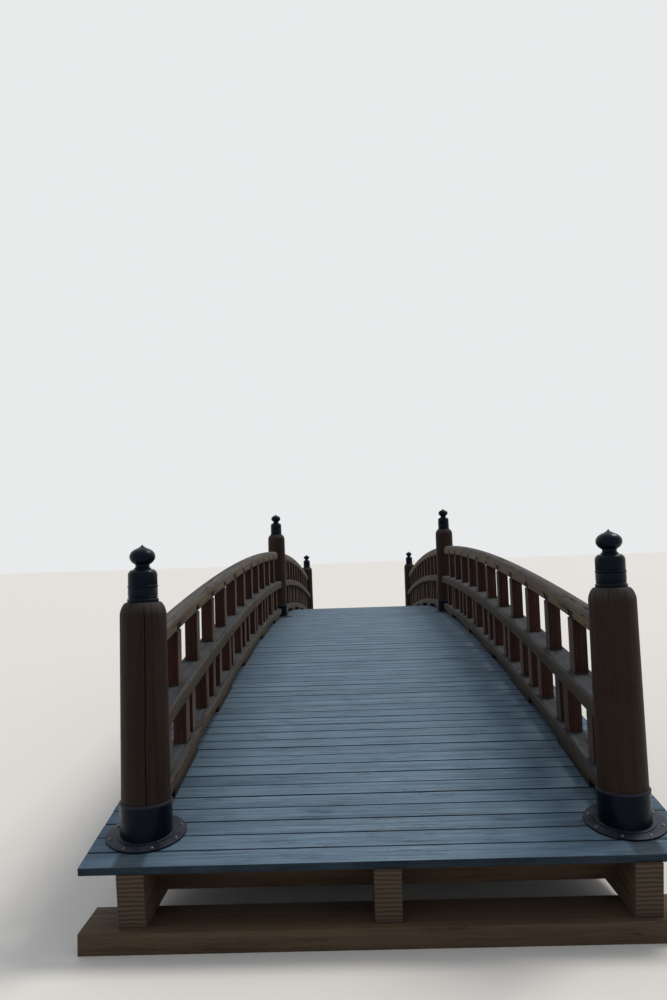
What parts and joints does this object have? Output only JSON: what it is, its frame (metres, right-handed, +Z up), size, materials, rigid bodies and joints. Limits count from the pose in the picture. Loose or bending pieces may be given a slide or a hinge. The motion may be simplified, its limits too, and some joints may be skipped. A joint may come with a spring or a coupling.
{
  "type": "moon bridge",
  "caption": "Arched timber garden footbridge with round posts under onion-shaped metal caps, a board deck and post-and-rail railings on both sides.",
  "frame": {"origin": "on the floor under the crown of the arch, in the middle of the bridge's width and length", "axes": "+X across the bridge to the right, +Y along it, away from the viewer, +Z up"},
  "size_m": [2.94, 15.588, 2.4962],
  "materials": {
    "post_wood": "red-brown stained timber, weathered, satin",
    "rail_wood": "grey-brown weathered timber, matt",
    "deck_wood": "silver-grey weathered boards, matt",
    "frame_wood": "dark treated timber, matt",
    "black_metal": "black satin coat on metal"
  },
  "bodies": {
    "root": {"left_girder": "frame_wood", "middle_girder": "frame_wood", "right_girder": "frame_wood", "cross_beams": "frame_wood", "near_sill": "frame_wood", "far_sill": "frame_wood", "deck": "deck_wood", "near_left_post": "post_wood", "near_right_post": "post_wood", "middle_left_post": "post_wood", "middle_right_post": "post_wood", "far_left_post": "post_wood", "far_right_post": "post_wood", "near_left_cap": "black_metal", "near_right_cap": "black_metal", "middle_left_cap": "black_metal", "middle_right_cap": "black_metal", "far_left_cap": "black_metal", "far_right_cap": "black_metal", "near_left_base": "black_metal", "near_right_base": "black_metal", "middle_left_base": "black_metal", "middle_right_base": "black_metal", "far_left_base": "black_metal", "far_right_base": "black_metal", "near_left_top_rail": "rail_wood", "near_right_top_rail": "rail_wood", "far_left_top_rail": "rail_wood", "far_right_top_rail": "rail_wood", "near_left_middle_rail": "rail_wood", "near_right_middle_rail": "rail_wood", "far_left_middle_rail": "rail_wood", "far_right_middle_rail": "rail_wood", "near_left_lower_rail": "rail_wood", "near_right_lower_rail": "rail_wood", "far_left_lower_rail": "rail_wood", "far_right_lower_rail": "rail_wood", "near_left_upper_balusters": "post_wood", "near_right_upper_balusters": "post_wood", "far_left_upper_balusters": "post_wood", "far_right_upper_balusters": "post_wood", "near_left_lower_balusters": "post_wood", "near_right_lower_balusters": "post_wood", "far_left_lower_balusters": "post_wood", "far_right_lower_balusters": "post_wood"}
  },
  "joints": []
}
